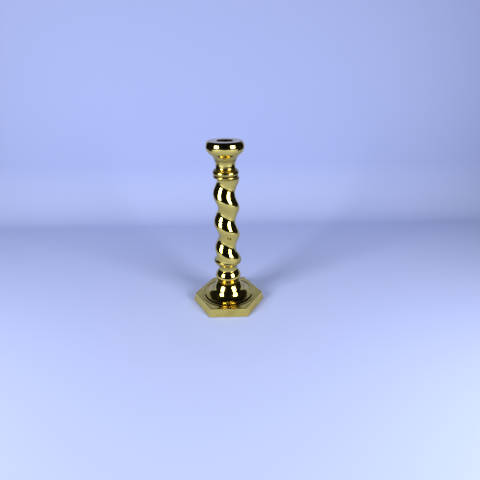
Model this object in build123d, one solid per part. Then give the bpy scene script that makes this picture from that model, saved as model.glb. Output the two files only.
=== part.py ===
from build123d import *
from math import atan2, degrees, sqrt
import os

# A barley-twist candle holder in brass. Millimetres; Z is the axis of the stem, and Z = 0 is the
# table. The corners of the hexagonal foot lie on the X axis, and a flat side faces -Y.

# Stack of pieces on the axis, from the table up
felt_t = 1.0
plate_h = 12.0
foot_h = 35.0
knop_h = 26.0
low_collar_h = 8.0
twist_h = 120.0
top_collar_h = 11.0
cup_h = 36.0

# Hexagonal foot: a hollow casting with a low ring, a dish and a bell-shaped dome on its top
flats_bottom = 93.0
flats_top = 86.4
plate_wall = 3.6
plate_edge_r = 0.6
ring_r = 38.4
ring_half_w = 1.8
ring_rise = 0.6
dish_r = 34.6
dish_rise = 1.3
cove_r = 22.5
cove_z = 22.0
cove_dip = 1.93
flank_r = 21.3
flank_z = 24.8
flank_dip = 0.03
dome_r = 17.9
dome_z = 30.6
dome_round = 0.18
dome_shoulder = 0.32
foot_neck_r = 14.0
foot_neck_h = 1.3
core_r = 14.0
web_t = 11.0

# Knop: the turned ring over the dome, with a hollow band under its edge and a neck over it
knop_lip_r = 16.4
knop_lip_h = 0.6
knop_r = 18.6
knop_band_h = 8.0
knop_scotia = 0.5
knop_round = 0.93
knop_top_r = 13.3
knop_top_h = 18.1
knop_neck_r = 12.9
knop_neck_z = 20.0

# Lower collar: a bell that opens upwards, under the twist
low_collar_r = 19.5

# Twist: a round bar whose centre runs round the axis once in each lead, left-handed. Over the
# flare's height its foot swells from the collar's top and draws in to the bar.
twist_r = 14.85
twist_offset = 2.9
twist_lead = 39.9
twist_front_z = 78.6
flare_h = 14.0
flare_r = 19.1
flare_offset = 0.3
flare_power = 1.3
flare_sections = 9

# Upper collar: two beads and a cove
bead_root_r = 15.2
low_bead_r = 16.6
low_bead_h = 3.4
top_bead_r = 17.2
top_bead_h = 6.8
collar_top_r = 14.5

# Candle cup
cup_neck_r = 12.85
cup_cove_h = 3.0
cup_flare_z = 5.0
cup_flare_share = 187 / 300
rim_r = 24.85
rim_drop = 7.0
rim_edge_r = 1.8
socket_r = 11.0
socket_depth = 24.0
socket_lip = 0.5

# Rod, nut and washers that hold the stack together
rod_r = 3.0
rod_fit = 0.3
thread_fit = 0.05
tap_depth = 9.0
tap_gap = 1.0
rod_tail = 2.0
rod_point = 0.6
nut_flats = 10.0
nut_t = 5.0
nut_bevel = 0.6
washer_r = 9.0
washer_t = 1.6
lock_r = 5.9
lock_t = 1.5
lock_gap = 1.2

# Joints between the turned pieces
spigot_r = 7.0
spigot_h = 3.0
spigot_fit = 0.1
edge_break = 0.3
felt_inset = 1.0
overrun = 1.0

# Heights from the table
foot_z = felt_t
plate_z = foot_z + plate_h
knop_z = foot_z + foot_h
low_collar_z = knop_z + knop_h
twist_z = low_collar_z + low_collar_h
top_collar_z = twist_z + twist_h
cup_z = top_collar_z + top_collar_h
web_z = knop_z - web_t


def turned(edges, height):
    """Solid of revolution round Z. The edges run up an outline of (radius, height) off the axis."""
    start, end = edges[0] @ 0, edges[-1] @ 1
    closing = Polyline(end, (0, end.Y), (0, start.Y), start)
    return Pos(0, 0, height) * revolve(Plane.XZ * make_face(edges + closing.edges()), Axis.Z)


def bead(radius, root, bottom, top):
    """Round moulding between two heights, standing out from the root radius."""
    return ThreePointArc((root, bottom), (radius, (bottom + top) / 2), (root, top))


def quarter(upright, other):
    """Arc of an outline that is parallel to Z at its first point. It runs upwards."""
    arc = TangentArc(upright, other, tangent=(0, other[1] - upright[1]))
    if other[1] > upright[1]:
        return arc
    return ThreePointArc(arc @ 1, arc @ 0.5, arc @ 0)


def bore(radius, bottom, top):
    return Pos(0, 0, bottom) * extrude(Circle(radius), top - bottom)


def joined(piece, bottom, height, spigot=True, socket=True):
    """Give a stacked piece its rod bore, a spigot under it and a socket for the next one's spigot."""
    top = bottom + height
    if spigot:
        piece += bore(spigot_r, bottom - spigot_h + spigot_fit, bottom + overrun)
    if socket:
        piece -= bore(spigot_r + spigot_fit, top - spigot_h, top + overrun)
    return piece - bore(rod_r + rod_fit, bottom - spigot_h - overrun, top + overrun)


def broken(piece, *heights):
    """Break the outer edge of a turned piece at each height where a seam shows."""
    for height in heights:
        rims = piece.edges().filter_by(GeomType.CIRCLE)
        rims = rims.filter_by_position(Axis.Z, height - edge_break, height + edge_break)
        piece = chamfer(rims.sort_by(SortBy.RADIUS)[-1], edge_break)
    return piece


def hexagon(flats, height):
    return Pos(0, 0, height) * RegularPolygon(flats / 2, 6, major_radius=False)


def frustum(flats_low, flats_high, low, high):
    return loft([hexagon(flats_low, low), hexagon(flats_high, high)])


def arc(start, end, bulge):
    """Arc of an outline that stands out to the right of the way it runs, or dips in to the left."""
    return SagittaArc(start, end, -bulge)


def foot_moulding():
    """Ring, dish and dome on the plate, as an outline above the foot's underside."""
    ring_in, ring_out = ring_r - ring_half_w, ring_r + ring_half_w
    dish, cove, flank = (dish_r, plate_h + dish_rise), (cove_r, cove_z), (flank_r, flank_z)
    dome, neck = (dome_r, dome_z), (foot_neck_r, foot_h - foot_neck_h)
    return [
        Line((ring_out, plate_h - plate_wall), (ring_out, plate_h)),
        arc((ring_out, plate_h), (ring_in, plate_h), ring_rise),
        Line((ring_in, plate_h), dish),
        arc(dish, cove, -cove_dip),
        arc(cove, flank, -flank_dip),
        arc(flank, dome, dome_round),
        arc(dome, neck, dome_shoulder),
        Line(neck, (foot_neck_r, foot_h)),
    ]


def foot_hollow():
    """The casting's hollow: a hexagonal pocket under the plate, and a core up into the dome."""
    slope = (flats_bottom - flats_top) / plate_h
    pocket_h = plate_h - plate_wall
    low, high = flats_bottom - 2 * plate_wall, flats_bottom - 2 * plate_wall - slope * pocket_h
    pocket = frustum(low + slope * overrun, high, foot_z - overrun, foot_z + pocket_h)
    return pocket + bore(core_r, foot_z, web_z)


def hex_foot():
    plate = frustum(flats_bottom, flats_top, foot_z, plate_z)
    plate = fillet(plate.faces().sort_by(Axis.Z)[-1].edges(), plate_edge_r)
    moulding = broken(turned(foot_moulding(), foot_z), knop_z)
    return joined(plate + moulding - foot_hollow(), foot_z, foot_h, spigot=False)


def knop():
    edge, top, neck = (knop_r, knop_band_h), (knop_top_r, knop_top_h), (knop_neck_r, knop_neck_z)
    outline = [
        Line((foot_neck_r - edge_break, 0), (foot_neck_r, edge_break)),
        Line((foot_neck_r, edge_break), (knop_lip_r, knop_lip_h)),
        arc((knop_lip_r, knop_lip_h), edge, -knop_scotia),
        arc(edge, top, knop_round),
        quarter(neck, top),
        Line(neck, (knop_neck_r, knop_h)),
    ]
    return joined(broken(turned(outline, knop_z), low_collar_z), knop_z, knop_h)


def lower_collar():
    lip = (low_collar_r, low_collar_h - edge_break)
    outline = [
        Line((knop_neck_r - edge_break, 0), (knop_neck_r, edge_break)),
        quarter(lip, (knop_neck_r, edge_break)),
        Line(lip, (low_collar_r - edge_break, low_collar_h)),
    ]
    return joined(turned(outline, low_collar_z), low_collar_z, low_collar_h)


def twist_section(above):
    """The bar's round section at a height above the twist's foot."""
    share = max(0, 1 - above / flare_h) ** flare_power
    radius = twist_r + share * (flare_r - twist_r)
    offset = twist_offset + share * (flare_offset - twist_offset)
    ridge = -90 + 360 * (twist_front_z - twist_z - above) / twist_lead
    return Rot(0, 0, ridge) * Pos(offset, 0) * Rot(0, 0, -ridge) * Circle(radius)


def twisted_stem():
    """Round bar swept up the stem while it turns; its ridge faces -Y at the named height."""
    even_h = twist_h - flare_h
    turn = -360 * even_h / twist_lead
    bar = Solid.extrude_linear_with_rotation(twist_section(flare_h).face(), (0, 0, 0), (0, 0, even_h), turn)
    heights = [flare_h * step / flare_sections for step in range(flare_sections + 1)]
    flare = loft([Pos(0, 0, height) * twist_section(height) for height in heights])
    return joined(Pos(0, 0, twist_z) * (flare + Pos(0, 0, flare_h) * bar), twist_z, twist_h)


def upper_collar():
    notch = low_bead_h
    shoulder = notch + top_bead_h
    outline = [
        bead(low_bead_r, bead_root_r, 0, notch),
        bead(top_bead_r, bead_root_r, notch, shoulder),
        Line((bead_root_r, shoulder), (collar_top_r, top_collar_h)),
    ]
    collar = broken(turned(outline, top_collar_z), top_collar_z, cup_z)
    return joined(collar, top_collar_z, top_collar_h)


def candle_cup():
    """Trumpet that flares into a round rim: two arcs that meet tangentially, then an edge round."""
    rim_z = cup_h - rim_drop
    reach, rise = rim_r - cup_neck_r, rim_z - cup_flare_z
    both_r = (reach**2 + rise**2) / (2 * reach)
    flare_r = cup_flare_share * both_r
    round_r = both_r - flare_r
    flare_x, round_x = cup_neck_r + flare_r, rim_r - round_r
    meet = degrees(atan2(rise, flare_x - round_x))
    edge_z = cup_h - rim_edge_r
    edge_x = round_x + sqrt((round_r - rim_edge_r) ** 2 - (edge_z - rim_z) ** 2)
    edge_angle = degrees(atan2(edge_z - rim_z, edge_x - round_x))
    outline = [
        quarter((cup_neck_r, cup_cove_h), (collar_top_r, 0)),
        Line((cup_neck_r, cup_cove_h), (cup_neck_r, cup_flare_z)),
        CenterArc((flare_x, cup_flare_z), flare_r, 180, -meet),
        CenterArc((round_x, rim_z), round_r, -meet, meet + edge_angle),
        CenterArc((edge_x, edge_z), rim_edge_r, edge_angle, 90 - edge_angle),
        Line((edge_x, cup_h), (socket_r + socket_lip, cup_h)),
        Line((socket_r + socket_lip, cup_h), (socket_r, cup_h - socket_lip)),
        Line((socket_r, cup_h - socket_lip), (socket_r, cup_h - socket_depth)),
    ]
    cup = broken(turned(outline, cup_z), cup_z)
    cup += bore(spigot_r, cup_z - spigot_h + spigot_fit, cup_z + overrun)
    return cup - bore(rod_r + thread_fit, cup_z - spigot_h - overrun, cup_z + tap_depth)


def nut_seat_z():
    return web_z - washer_t - lock_t


def tie_rod():
    low = nut_seat_z() - nut_t - rod_tail
    rod = bore(rod_r, low, cup_z + tap_depth - tap_gap)
    return chamfer(rod.edges(), rod_point)


def rod_washer():
    return bore(washer_r, web_z - washer_t, web_z) - bore(rod_r + rod_fit, web_z - washer_t, web_z)


def lock_washer():
    """Split spring washer, closed flat under the nut."""
    low, high = nut_seat_z(), nut_seat_z() + lock_t
    ring = bore(lock_r, low, high) - bore(rod_r + rod_fit, low, high)
    return ring - Pos(lock_r, 0, low) * Box(2 * lock_r, lock_gap, 4 * lock_t)


def rod_nut():
    low = nut_seat_z() - nut_t
    nut = extrude(hexagon(nut_flats, low), nut_t)
    corner_r = nut_flats / 2 / sqrt(3) * 2
    dome = chamfer(bore(corner_r, low, low + nut_t).edges(), nut_bevel)
    return (nut & dome) - bore(rod_r + thread_fit, low - overrun, low + nut_t + overrun)


def felt_pad():
    return extrude(hexagon(flats_bottom - 2 * felt_inset, 0), felt_t)


pieces = {
    "felt_pad": felt_pad,
    "hex_foot": hex_foot,
    "knop": knop,
    "lower_collar": lower_collar,
    "twisted_stem": twisted_stem,
    "upper_collar": upper_collar,
    "candle_cup": candle_cup,
    "tie_rod": tie_rod,
    "rod_washer": rod_washer,
    "lock_washer": lock_washer,
    "rod_nut": rod_nut,
}

os.makedirs("parts", exist_ok=True)
for name, make in pieces.items():
    piece = make()
    export_step(piece, f"parts/{name}.step")
    box = piece.bounding_box()
    print(name, len(piece.solids()), "solid", round(piece.volume), "mm3", box)
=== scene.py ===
from math import atan2, cos, degrees, exp, pi, radians, sin, sqrt, tau

import bmesh
import bpy
from mathutils import Matrix, Vector


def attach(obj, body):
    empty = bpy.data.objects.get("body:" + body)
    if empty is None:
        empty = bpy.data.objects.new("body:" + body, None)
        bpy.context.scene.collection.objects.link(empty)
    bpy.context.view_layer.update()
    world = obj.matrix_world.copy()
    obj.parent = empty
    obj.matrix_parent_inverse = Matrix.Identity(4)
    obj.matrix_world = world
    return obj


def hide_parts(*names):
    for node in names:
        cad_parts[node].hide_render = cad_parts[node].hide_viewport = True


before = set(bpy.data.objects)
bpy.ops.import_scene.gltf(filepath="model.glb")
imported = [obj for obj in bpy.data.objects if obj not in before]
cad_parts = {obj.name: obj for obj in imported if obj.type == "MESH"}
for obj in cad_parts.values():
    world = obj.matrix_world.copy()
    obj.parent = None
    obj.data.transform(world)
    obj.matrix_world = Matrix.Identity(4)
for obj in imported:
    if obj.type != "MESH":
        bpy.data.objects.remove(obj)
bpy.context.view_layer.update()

mm = 0.001

# Sizes of the candle holder in millimetres, as the CAD has them. Z = 0 is the table.
foot_z, plate_h, foot_h = 1.0, 12.0, 35.0
flats_bottom, flats_top, plate_edge_r = 93.0, 86.4, 0.6
ring_r, ring_half_w, ring_rise = 38.4, 1.8, 0.6
dish_r, dish_rise = 34.6, 1.3
cove_r, cove_z, cove_dip, flank_r, flank_z, flank_dip = 22.5, 22.0, 1.93, 21.3, 24.8, 0.03
dome_r, dome_z, dome_round, dome_shoulder, foot_neck_r, foot_neck_h = 17.9, 30.6, 0.18, 0.32, 14.0, 1.3
knop_h, knop_lip_r, knop_lip_h, knop_r, knop_band_h, knop_scotia = 26.0, 16.4, 0.6, 18.6, 8.0, 0.5
knop_round, knop_top_r, knop_top_h, knop_neck_r, knop_neck_z = 0.93, 13.3, 18.1, 12.9, 20.0
low_collar_h, low_collar_r = 8.0, 19.5
twist_h, twist_r, twist_offset, twist_lead, twist_front_z = 120.0, 14.85, 2.9, 39.9, 78.6
flare_h, flare_r, flare_offset, flare_power = 14.0, 19.1, 0.3, 1.3
top_collar_h, bead_root_r, low_bead_r, low_bead_h = 11.0, 15.2, 16.6, 3.4
top_bead_r, top_bead_h, collar_top_r = 17.2, 6.8, 14.5
cup_h, cup_neck_r, cup_cove_h, cup_flare_z, cup_flare_r = 36.0, 12.85, 3.0, 5.0, 18.7
rim_r, rim_drop, rim_edge_r = 24.85, 7.0, 1.8
socket_r, socket_depth, socket_lip = 11.0, 24.0, 0.5
felt_inset, edge_break = 1.0, 0.3
felt_flats = flats_bottom - 2 * felt_inset

knop_z = foot_z + foot_h
low_collar_z = knop_z + knop_h
twist_z = low_collar_z + low_collar_h
top_collar_z = twist_z + twist_h
cup_z = top_collar_z + top_collar_h

# How finely the pieces are built: steps in a full circle, degrees in a step of an arc, steps round the
# twisted bar and in each of its leads, steps in a rounded edge, millimetres within which two points
# are one, and degrees from which an edge stays hard.
round_steps, arc_step, fewest_arc_steps = 192, 3.0, 4
bar_steps, lead_steps = 144, 96
plate_edge_steps, felt_edge_steps, felt_edge_r = 4, 3, 0.3
weld, hard_edge = 0.002, 32

# Millimetres over which the dirt of a seam thins out: in most seams, and round the beads and the cup's
# foot, where no buff reaches. The painted shade and the wax film on a face fall off with this power of
# its upward slope.
seam_fade, collar_fade, top_shade_and_film_power = 0.9, 2.0, 4


# ---------------------------------------------------------------- meshes, outlines and turning

def corners_in(geometry):
    """Vertices among the parts of a mesh that an operator gives back."""
    return [part for part in geometry if isinstance(part, bmesh.types.BMVert)]


def stood(name, bm):
    """Object at the origin that takes over the mesh."""
    mesh = bpy.data.meshes.new(name)
    bm.to_mesh(mesh)
    bm.free()
    made = bpy.data.objects.new(name, mesh)
    bpy.context.scene.collection.objects.link(made)
    return made


def outline(radius, height):
    """Starts an outline of (radius, height) in millimetres and gives its bmesh and its first point."""
    bm = bmesh.new()
    return bm, bmesh.ops.create_vert(bm, co=(radius * mm, 0, height * mm))["vert"][0]


def straight(bm, point, radius, height):
    """Carries the outline straight on to a radius and height."""
    end = bmesh.ops.extrude_vert_indiv(bm, verts=[point])["verts"][0]
    end.co = (radius * mm, 0, height * mm)
    return end


def curved(bm, point, centre, turn):
    """Carries the outline round a centre by a turn in degrees, anticlockwise with Z up."""
    swept = bmesh.ops.spin(bm, geom=[point], cent=(centre[0] * mm, 0, centre[1] * mm), axis=(0, -1, 0),
                           angle=radians(turn), steps=max(fewest_arc_steps, round(abs(turn) / arc_step)))
    return corners_in(swept["geom_last"])[0]


def turn_between(centre, start, end):
    """Shorter turn in degrees from one point to another round a centre."""
    first = atan2(start[1] - centre[1], start[0] - centre[0])
    last = atan2(end[1] - centre[1], end[0] - centre[0])
    return degrees((last - first + pi) % tau - pi)


def quarter(bm, point, radius, height, upright):
    """Carries the outline on by an arc that is parallel to Z at its start or at its end."""
    start, end = (point.co.x / mm, point.co.z / mm), (radius, height)
    stand, other = (start, end) if upright == "start" else (end, start)
    reach, rise = other[0] - stand[0], other[1] - stand[1]
    centre = (stand[0] + (reach**2 + rise**2) / (2 * reach), stand[1])
    return curved(bm, point, centre, turn_between(centre, start, end))


def bulged(bm, point, radius, height, bulge):
    """Carries the outline on by an arc that stands out to the right of the way it runs."""
    start, end = Vector((point.co.x / mm, point.co.z / mm)), Vector((radius, height))
    run = end - start
    size = (run.length**2 / 4 + bulge**2) / (2 * bulge)
    centre = (start + end) / 2 + Vector((-run.y, run.x)).normalized() * (size - bulge)
    return curved(bm, point, centre, degrees(4 * atan2(bulge, run.length / 2)))


def finished(name, bm, seams=(), fade=seam_fade):
    """Closes the mesh, points it outwards, keeps its hard edges hard and puts it in the scene.
    Its seam attribute is 1 at the heights of its seams and falls away from them over the fade. Its
    level attribute is 1 where it faces up, and 0 where it stands upright or faces down."""
    bmesh.ops.remove_doubles(bm, verts=bm.verts, dist=weld * mm)
    bmesh.ops.recalc_face_normals(bm, faces=bm.faces)
    seam = bm.verts.layers.float.new("seam")
    level = bm.verts.layers.float.new("level")
    bm.normal_update()
    for vert in bm.verts:
        vert[seam] = max([exp(-abs(vert.co.z / mm - height) / fade) for height in seams], default=0)
        vert[level] = max(0, vert.normal.z) ** top_shade_and_film_power
    for face in bm.faces:
        face.smooth = True
    for edge in bm.edges:
        edge.smooth = len(edge.link_faces) == 2 and edge.calc_face_angle(0) < radians(hard_edge)
    piece = stood(name, bm)
    even = piece.modifiers.new("even_normals", "WEIGHTED_NORMAL")
    even.keep_sharp = True
    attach(piece, "root")
    return piece


def turned(bm):
    """Turns the outline a full circle round Z."""
    bmesh.ops.spin(bm, geom=bm.verts[:] + bm.edges[:], cent=(0, 0, 0), axis=(0, 0, 1), angle=tau,
                   steps=round_steps, use_merge=True)
    bmesh.ops.remove_doubles(bm, verts=bm.verts, dist=weld * mm)
    return bm


# ---------------------------------------------------------------- pieces

def foot_moulding():
    """Ring, dish and dome, open at the bottom where the ring stands on the plate."""
    top, dish = foot_z + plate_h, foot_z + plate_h + dish_rise
    bm, at = outline(ring_r + ring_half_w, top)
    at = bulged(bm, at, ring_r - ring_half_w, top, ring_rise)
    at = straight(bm, at, dish_r, dish)
    at = bulged(bm, at, cove_r, foot_z + cove_z, -cove_dip)
    at = bulged(bm, at, flank_r, foot_z + flank_z, -flank_dip)
    at = bulged(bm, at, dome_r, foot_z + dome_z, dome_round)
    at = bulged(bm, at, foot_neck_r, knop_z - foot_neck_h, dome_shoulder)
    at = straight(bm, at, foot_neck_r, knop_z - edge_break)
    at = straight(bm, at, foot_neck_r - edge_break, knop_z)
    straight(bm, at, 0, knop_z)
    return turned(bm)


def hexagonal_plate(bm, low_flats, high_flats, bottom, height):
    """Closed hexagonal plate, with one flat side towards -Y."""
    return bmesh.ops.create_cone(
        bm, segments=6, radius1=low_flats / sqrt(3) * mm, radius2=high_flats / sqrt(3) * mm,
        depth=height * mm, cap_ends=True,
        matrix=Matrix.Translation((0, 0, (bottom + height / 2) * mm)) @ Matrix.Rotation(pi / 2, 4, "Z"))


def rounded(bm, edges, radius, steps):
    bmesh.ops.bevel(bm, geom=edges, offset=radius * mm, offset_type="OFFSET", segments=steps, profile=0.5,
                    affect="EDGES", material=-1)


def hex_foot():
    """Plate with rounded edges, whose top is cut open for the moulding and sewn to it."""
    bm = foot_moulding()
    rim = [edge for edge in bm.edges if edge.is_boundary]
    plate = hexagonal_plate(bm, flats_bottom, flats_top, foot_z, plate_h)
    sides = {edge for vert in plate["verts"] for edge in vert.link_edges}
    lowest = (foot_z + weld) * mm
    rounded(bm, [edge for edge in sides if max(vert.co.z for vert in edge.verts) > lowest],
            plate_edge_r, plate_edge_steps)
    level_hexagons = [face for face in bm.faces if len(face.verts) > 5 and face.normal.z > 0.9]
    top = max(level_hexagons, key=lambda face: face.calc_area())
    border = list(top.edges)
    bmesh.ops.delete(bm, geom=[top], context="FACES_ONLY")
    bmesh.ops.triangle_fill(bm, use_beauty=True, normal=(0, 0, 1), edges=border + rim)
    return finished("foot_casting", bm, (knop_z,))


def knop():
    """Turned ring: a lip, a hollow band, a round shoulder and a neck."""
    bm, at = outline(0, knop_z)
    at = straight(bm, at, foot_neck_r - edge_break, knop_z)
    at = straight(bm, at, foot_neck_r, knop_z + edge_break)
    at = straight(bm, at, knop_lip_r, knop_z + knop_lip_h)
    at = bulged(bm, at, knop_r, knop_z + knop_band_h, -knop_scotia)
    at = bulged(bm, at, knop_top_r, knop_z + knop_top_h, knop_round)
    at = quarter(bm, at, knop_neck_r, knop_z + knop_neck_z, "end")
    at = straight(bm, at, knop_neck_r, low_collar_z - edge_break)
    at = straight(bm, at, knop_neck_r - edge_break, low_collar_z)
    straight(bm, at, 0, low_collar_z)
    seams = knop_z, knop_z + knop_lip_h, low_collar_z
    return finished("turned_knop", turned(bm), seams)


def lower_collar():
    """Bell that opens upwards."""
    bm, at = outline(0, low_collar_z)
    at = straight(bm, at, knop_neck_r - edge_break, low_collar_z)
    at = straight(bm, at, knop_neck_r, low_collar_z + edge_break)
    at = quarter(bm, at, low_collar_r, twist_z - edge_break, "end")
    at = straight(bm, at, low_collar_r - edge_break, twist_z)
    straight(bm, at, 0, twist_z)
    return finished("collar_low", turned(bm), (low_collar_z, twist_z))


def twist():
    """Round bar run up the stem while it turns to the left. Its foot swells out to the collar."""
    ridge = -90 + 360 * (twist_front_z - twist_z) / twist_lead
    steps = round(twist_h / twist_lead * lead_steps)
    offset = Matrix.Translation((twist_offset * mm, 0, twist_z * mm))
    bm = bmesh.new()
    bmesh.ops.create_circle(bm, segments=bar_steps, radius=twist_r * mm, cap_ends=True,
                            matrix=Matrix.Rotation(radians(ridge), 4, "Z") @ offset)
    ring = bm.verts[:] + bm.edges[:]
    bmesh.ops.spin(bm, geom=ring, cent=(0, 0, 0), axis=(0, 0, 1), dvec=(0, 0, twist_h / steps * mm),
                   angle=-tau * twist_h / twist_lead, steps=steps)
    upper = [edge for edge in bm.edges if edge.is_boundary]
    bmesh.ops.contextual_create(bm, geom=upper)
    for vert in bm.verts:
        above = vert.co.z / mm - twist_z
        share = max(0, 1 - above / flare_h) ** flare_power
        turn = radians(ridge - 360 * above / twist_lead)
        way = Vector((cos(turn), sin(turn), 0))
        reach = vert.co - way * twist_offset * mm - Vector((0, 0, vert.co.z))
        swell = 1 + share * (flare_r / twist_r - 1)
        middle = twist_offset + share * (flare_offset - twist_offset)
        vert.co = way * middle * mm + reach * swell + Vector((0, 0, vert.co.z))
    return finished("twist_bar", bm, (twist_z, top_collar_z))


def upper_collar():
    """Two beads and a slope up to the cup."""
    notch = top_collar_z + low_bead_h
    shoulder = notch + top_bead_h
    bm, at = outline(0, top_collar_z)
    at = straight(bm, at, bead_root_r, top_collar_z)
    at = bulged(bm, at, bead_root_r, notch, low_bead_r - bead_root_r)
    at = bulged(bm, at, bead_root_r, shoulder, top_bead_r - bead_root_r)
    at = straight(bm, at, collar_top_r, cup_z - edge_break)
    at = straight(bm, at, collar_top_r - edge_break, cup_z)
    straight(bm, at, 0, cup_z)
    seams = top_collar_z, notch, shoulder, cup_z
    return finished("collar_top", turned(bm), seams, fade=collar_fade)


def candle_cup():
    """Trumpet that flares into a round rim: two arcs that meet tangentially, then an edge round."""
    flare_x, flare_z = cup_neck_r + cup_flare_r, cup_z + cup_flare_z
    rim_z = cup_z + cup_h - rim_drop
    reach, rise = flare_x - rim_r, rim_z - flare_z
    round_r = (reach**2 + rise**2 - cup_flare_r**2) / (2 * (cup_flare_r - reach))
    round_x = rim_r - round_r
    meet = degrees(atan2(rise, flare_x - round_x))
    top = cup_z + cup_h
    edge_z = top - rim_edge_r
    edge_x = round_x + sqrt((round_r - rim_edge_r) ** 2 - (edge_z - rim_z) ** 2)
    edge_angle = degrees(atan2(edge_z - rim_z, edge_x - round_x))
    bm, at = outline(0, cup_z)
    at = straight(bm, at, collar_top_r - edge_break, cup_z)
    at = straight(bm, at, collar_top_r, cup_z + edge_break)
    at = quarter(bm, at, cup_neck_r, cup_z + cup_cove_h, "end")
    at = straight(bm, at, cup_neck_r, flare_z)
    at = curved(bm, at, (flare_x, flare_z), -meet)
    at = curved(bm, at, (round_x, rim_z), meet + edge_angle)
    at = curved(bm, at, (edge_x, edge_z), 90 - edge_angle)
    at = straight(bm, at, socket_r + socket_lip, top)
    at = straight(bm, at, socket_r, top - socket_lip)
    at = straight(bm, at, socket_r, top - socket_depth)
    straight(bm, at, 0, top - socket_depth)
    seams = cup_z, top - socket_depth
    return finished("cup_trumpet", turned(bm), seams, fade=collar_fade)


def felt_pad():
    """Pad cut from felt to the foot's outline, with edges that have softened."""
    bm = bmesh.new()
    hexagonal_plate(bm, felt_flats, felt_flats, 0, foot_z)
    rounded(bm, bm.edges[:], felt_edge_r, felt_edge_steps)
    return finished("felt_base", bm)


# ---------------------------------------------------------------- materials

def linear(code):
    """sRGB hex colour as linear RGBA."""
    shares = [int(code[i:i + 2], 16) / 255 for i in (1, 3, 5)]
    return [s / 12.92 if s <= 0.04045 else ((s + 0.055) / 1.055) ** 2.4 for s in shares] + [1.0]


def add(tree, kind, settings=None, inputs=None):
    """Adds a node with its settings, and gives each input a value or a link."""
    made = tree.nodes.new(kind)
    for key, value in (settings or {}).items():
        setattr(made, key, value)
    for key, value in (inputs or {}).items():
        if isinstance(value, bpy.types.NodeSocket):
            tree.links.new(value, made.inputs[key])
        else:
            made.inputs[key].default_value = value
    return made


def per_mm(size):
    """Noise scale for features of a size in millimetres."""
    return 1 / (size * mm)


def material(name):
    """Empty node material with a Principled shader at its output."""
    made = bpy.data.materials.new(name)
    made.use_nodes = True
    return made, made.node_tree, made.node_tree.nodes["Principled BSDF"]


def noise(tree, place, size, detail, **settings):
    """Cloudy pattern from 0 to 1 with features of a size in millimetres."""
    inputs = {"Vector": place, "Scale": per_mm(size), "Detail": detail, **settings}
    return add(tree, "ShaderNodeTexNoise", inputs=inputs).outputs["Fac"]


def ranged(tree, value, low=0.0, high=1.0, to_low=0.0, to_high=1.0):
    """Value moved from one range to another, and kept inside it."""
    inputs = {"Value": value, "From Min": low, "From Max": high, "To Min": to_low, "To Max": to_high}
    return add(tree, "ShaderNodeMapRange", inputs=inputs).outputs["Result"]


def product(tree, first, second):
    return add(tree, "ShaderNodeMath", {"operation": "MULTIPLY", "use_clamp": True}, {
        0: first, 1: second}).outputs["Value"]


def raised(tree, value, share, base):
    """A share of the value on top of a base."""
    return add(tree, "ShaderNodeMath", {"operation": "MULTIPLY_ADD"}, {
        0: value, 1: share, 2: base}).outputs["Value"]


def blend(tree, share, first, second):
    """Colour between two others; a hex code stands for its colour."""
    first, second = (linear(tone) if isinstance(tone, str) else tone for tone in (first, second))
    return add(tree, "ShaderNodeMix", {"data_type": "RGBA"}, {
        "Factor": share, "A": first, "B": second}).outputs["Result"]


def bump(tree, height, depth, strength, **more):
    """Normal of a surface that is uneven by a depth in millimetres."""
    inputs = {"Strength": strength, "Distance": depth * mm, "Height": height, **more}
    return add(tree, "ShaderNodeBump", inputs=inputs).outputs["Normal"]


def painted(tree, name):
    """Value that the mesh carries under a name."""
    return add(tree, "ShaderNodeAttribute", {"attribute_name": name}).outputs["Fac"]


def polished_brass(name, ripple):
    """Yellow brass, buffed by hand to a mirror: warm yellow, with soft ripples from the buff, faint
    turning lines round the stem, thin dull patches, and old polish that has dried brown in the seams.
    ripple is the depth in millimetres of the unevenness that the buff left."""
    made, tree, shader = material(name)
    place = add(tree, "ShaderNodeTexCoord").outputs["Object"]
    patches = noise(tree, place, 14, 3.0, Roughness=0.55)
    dull = ranged(tree, patches, 0.45, 0.75, to_high=0.5)
    tone = blend(tree, dull, "#E8D06A", "#C9A64E")
    # Level faces carry painted shade: a darker tone where they face up. Old wax and dust make them
    # duller.
    top_shade_and_film = product(tree, painted(tree, "level"), ranged(tree, patches, 0.3, 0.7, to_low=0.6))
    tone = blend(tree, top_shade_and_film, tone, "#B49C4C")
    # Dried polish sits in crumbs, thick in the seams and thinner away from them.
    crumbs = noise(tree, place, 1.5, 4.0)
    grime = product(tree, painted(tree, "seam"), ranged(tree, crumbs, 0.3, 0.7, to_low=0.4))
    colour = blend(tree, grime, tone, "#4A3A1C")
    # Turning lines are a few hundredths of a millimetre apart; drawn 0.4 mm apart, so that they show.
    rings = add(tree, "ShaderNodeMapping", inputs={
        "Vector": place, "Scale": (0.02, 0.02, 1.0)}).outputs["Vector"]
    lines = noise(tree, rings, 0.4, 2.0)
    # The lines, dull patches, film and grime each take something from the mirror.
    rough = raised(tree, lines, 0.05, 0.04)
    for cause, loss in ((dull, 0.12), (top_shade_and_film, 0.14), (grime, 0.4)):
        rough = raised(tree, cause, loss, rough)
    buffed = bump(tree, noise(tree, place, 9, 1.0), ripple, 1.0)
    ringed = bump(tree, lines, 0.001, 0.3, Normal=buffed)
    shader.inputs["Metallic"].default_value = 1.0
    for socket, source in (("Base Color", colour), ("Roughness", rough), ("Normal", ringed)):
        tree.links.new(source, shader.inputs[socket])
    return made


def zinc_plated_steel():
    """Bright zinc on turned steel: cool grey and satin, with the cloudy bloom of the plating bath."""
    made, tree, shader = material("zinc_plated_steel")
    place = add(tree, "ShaderNodeTexCoord").outputs["Object"]
    bloom = noise(tree, place, 3, 3.0)
    shader.inputs["Metallic"].default_value = 1.0
    tree.links.new(blend(tree, bloom, "#C9CCD0", "#AEB3BA"), shader.inputs["Base Color"])
    tree.links.new(ranged(tree, bloom, to_low=0.25, to_high=0.45), shader.inputs["Roughness"])
    return made


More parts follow.
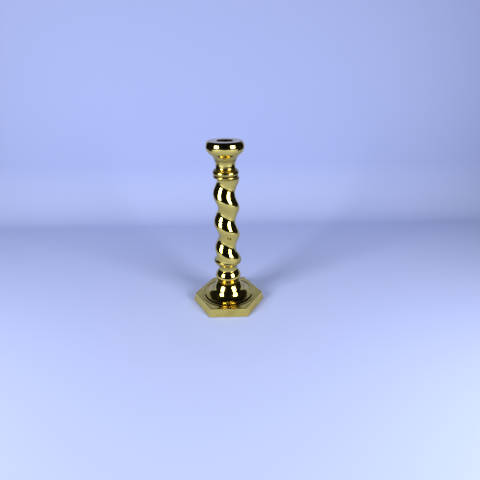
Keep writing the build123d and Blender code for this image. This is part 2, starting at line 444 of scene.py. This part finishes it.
def wool_felt():
    """Pressed wool felt, dyed green: matt, with tangled fibres and a soft sheen at the edge."""
    made, tree, shader = material("green_wool_felt")
    place = add(tree, "ShaderNodeTexCoord").outputs["Object"]
    # Fibres are 0.03 mm thick; drawn as 0.5 mm tangles, so that they show.
    fibres = noise(tree, place, 0.5, 6.0, Roughness=0.7, Distortion=1.5)
    clouds = noise(tree, place, 8, 2.0)
    share = ranged(tree, product(tree, fibres, clouds), 0.1, 0.4)
    shader.inputs["Roughness"].default_value = 0.95
    shader.inputs["Sheen Weight"].default_value = 0.4
    shader.inputs["Sheen Roughness"].default_value = 0.5
    tree.links.new(blend(tree, share, "#23402F", "#3F6B4F"), shader.inputs["Base Color"])
    tree.links.new(bump(tree, fibres, 0.15, 0.6), shader.inputs["Normal"])
    return made


def paper(name, low, high, bend):
    """Matt background paper with a faint tooth. Its standing part carries painted shade: a greyer tone
    than the floor, blended in over the bend, so that it comes out as bright as the floor under the low
    softboxes.
    """
    made, tree, shader = material(name)
    place = add(tree, "ShaderNodeTexCoord").outputs["Object"]
    height = add(tree, "ShaderNodeSeparateXYZ", inputs={"Vector": place}).outputs["Z"]
    # Painted shade: the tone turns greyer from the floor up the bend to the standing part.
    colour = blend(tree, ranged(tree, height, 0.0, bend), low, high)
    shader.inputs["Roughness"].default_value = 0.9
    tree.links.new(colour, shader.inputs["Base Color"])
    tree.links.new(bump(tree, noise(tree, place, 2, 4.0), 0.05, 0.2), shader.inputs["Normal"])
    return made


def black_card():
    """Matt black card of the flags: it gives the brass its dark zones."""
    made, tree, shader = material("matt_black_card")
    shader.inputs["Base Color"].default_value = linear("#0B0C0E")
    shader.inputs["Roughness"].default_value = 0.9
    return made


# ---------------------------------------------------------------- dressing

turned_brass = polished_brass("turned_and_buffed_brass", 0.05)
cast_brass = polished_brass("cast_and_buffed_brass", 0.12)
for make, node, brass in (
        (hex_foot, "hex_foot", cast_brass), (knop, "knop", turned_brass),
        (lower_collar, "lower_collar", turned_brass), (twist, "twisted_stem", cast_brass),
        (upper_collar, "upper_collar", turned_brass), (candle_cup, "candle_cup", turned_brass)):
    piece = make()
    piece.data.materials.append(brass)
    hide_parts(node)

pad = felt_pad()
pad.data.materials.append(wool_felt())
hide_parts("felt_pad")

steel = zinc_plated_steel()
for node in ("tie_rod", "rod_washer", "lock_washer", "rod_nut"):
    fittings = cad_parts[node].data.materials
    fittings.clear()
    fittings.append(steel)

# ---------------------------------------------------------------- stage, lights and camera

def paper_sweep(left, right, front, fold, bend, top, bend_steps=12):
    """Pale paper that lies under the object, bends up behind it and stands as the backdrop."""
    bm = bmesh.new()
    at = bmesh.ops.create_vert(bm, co=(left, front, 0))["vert"][0]
    at = bmesh.ops.extrude_vert_indiv(bm, verts=[at])["verts"][0]
    at.co.y = fold - bend
    swept = bmesh.ops.spin(bm, geom=[at], cent=(left, fold - bend, bend), axis=(1, 0, 0), angle=pi / 2,
                           steps=bend_steps)
    at = corners_in(swept["geom_last"])[0]
    at = bmesh.ops.extrude_vert_indiv(bm, verts=[at])["verts"][0]
    at.co.z = top
    side = bmesh.ops.extrude_edge_only(bm, edges=bm.edges[:])["geom"]
    bmesh.ops.translate(bm, verts=corners_in(side), vec=(right - left, 0, 0))
    bmesh.ops.recalc_face_normals(bm, faces=bm.faces)
    for face in bm.faces:
        face.smooth = True
    made = stood("paper_sweep", bm)
    made.data.materials.append(paper("pale_background_paper", "#B9C6F4", "#A6B3E1", bend))


def dark_flag(name, near, far, card, seen=True, bottom=0.001, height=0.6):
    """Black card that keeps the pale paper out of the brass. It stands just outside the picture, or
    behind the object, where the camera doesn't see it. The paper gets its light as if the card
    weren't there."""
    bm = bmesh.new()
    foot = [bmesh.ops.create_vert(bm, co=(*place, bottom))["vert"][0] for place in (near, far)]
    edge = bmesh.ops.contextual_create(bm, geom=foot)["edges"]
    upper = bmesh.ops.extrude_edge_only(bm, edges=edge)["geom"]
    bmesh.ops.translate(bm, verts=corners_in(upper), vec=(0, 0, height))
    made = stood(name, bm)
    made.data.materials.append(card)
    made.visible_shadow = False
    made.visible_diffuse = False
    made.visible_camera = seen


def softbox(name, azimuth, elevation, distance, width, height, power, aim_z=0.1):
    """Softbox that faces the middle of the object; azimuth runs from -Y towards +X."""
    data = bpy.data.lights.new(name, "AREA")
    data.shape = "RECTANGLE"
    data.size, data.size_y, data.energy = width, height, power
    made = bpy.data.objects.new(name, data)
    around, above = radians(azimuth), radians(elevation)
    aim = Vector((0, 0, aim_z))
    out = Vector((cos(above) * sin(around), -cos(above) * cos(around), sin(above)))
    made.location = aim + out * distance
    made.rotation_euler = (-out).to_track_quat("-Z", "Y").to_euler()
    bpy.context.scene.collection.objects.link(made)


def camera(place, yaw, pitch, roll, lens):
    """Camera at a place in millimetres: it looks along +Y, turned by the yaw to +X, down by the pitch."""
    yaw, pitch, roll = radians(yaw), radians(pitch), radians(roll)
    level, side = Vector((sin(yaw), cos(yaw), 0)), Vector((cos(yaw), -sin(yaw), 0))
    ahead = level * cos(pitch) - Vector((0, 0, 1)) * sin(pitch)
    head = Vector((0, 0, 1)) * cos(pitch) + level * sin(pitch)
    right = side * cos(roll) + head * sin(roll)
    up = head * cos(roll) - side * sin(roll)
    data = bpy.data.cameras.new("studio_camera")
    data.lens, data.sensor_width, data.sensor_fit = lens, 36.0, "HORIZONTAL"
    data.clip_start, data.clip_end = 0.01, 20
    made = bpy.data.objects.new("studio_camera", data)
    turn = Matrix((right, up, -ahead)).transposed().to_4x4()
    made.matrix_world = Matrix.Translation(Vector(place) * mm) @ turn
    bpy.context.scene.collection.objects.link(made)
    bpy.context.scene.camera = made


# The stage is in metres. It follows the photograph: one softbox on each side of the camera.
paper_sweep(left=-0.72, right=0.74, front=-0.9, fold=0.42, bend=0.12, top=0.5)
card = black_card()
dark_flag("flag_left", (-0.345, -0.05), (-0.62, 0.37), card)
dark_flag("flag_right", (0.375, -0.05), (0.665, 0.37), card)
dark_flag("flag_behind_left", (-0.62, 0.37), (-0.355, 0.41), card, seen=False)
dark_flag("flag_behind_right", (0.665, 0.37), (0.38, 0.41), card, seen=False)
softbox("softbox_right", 47, 21, 0.8, 0.34, 0.42, 6.1)
softbox("softbox_left", -50, 20, 1.0, 0.39, 0.46, 10.7)
world = bpy.data.worlds.new("dark_room")
world.use_nodes = True
world.node_tree.nodes["Background"].inputs["Color"].default_value = linear("#0F1015")
world.node_tree.nodes["Background"].inputs["Strength"].default_value = 1.0
bpy.context.scene.world = world
camera(place=(8.3, -439.7, 300.8), yaw=1.25, pitch=24.6, roll=-0.53, lens=25.5)
bpy.context.scene.view_settings.view_transform = "Standard"
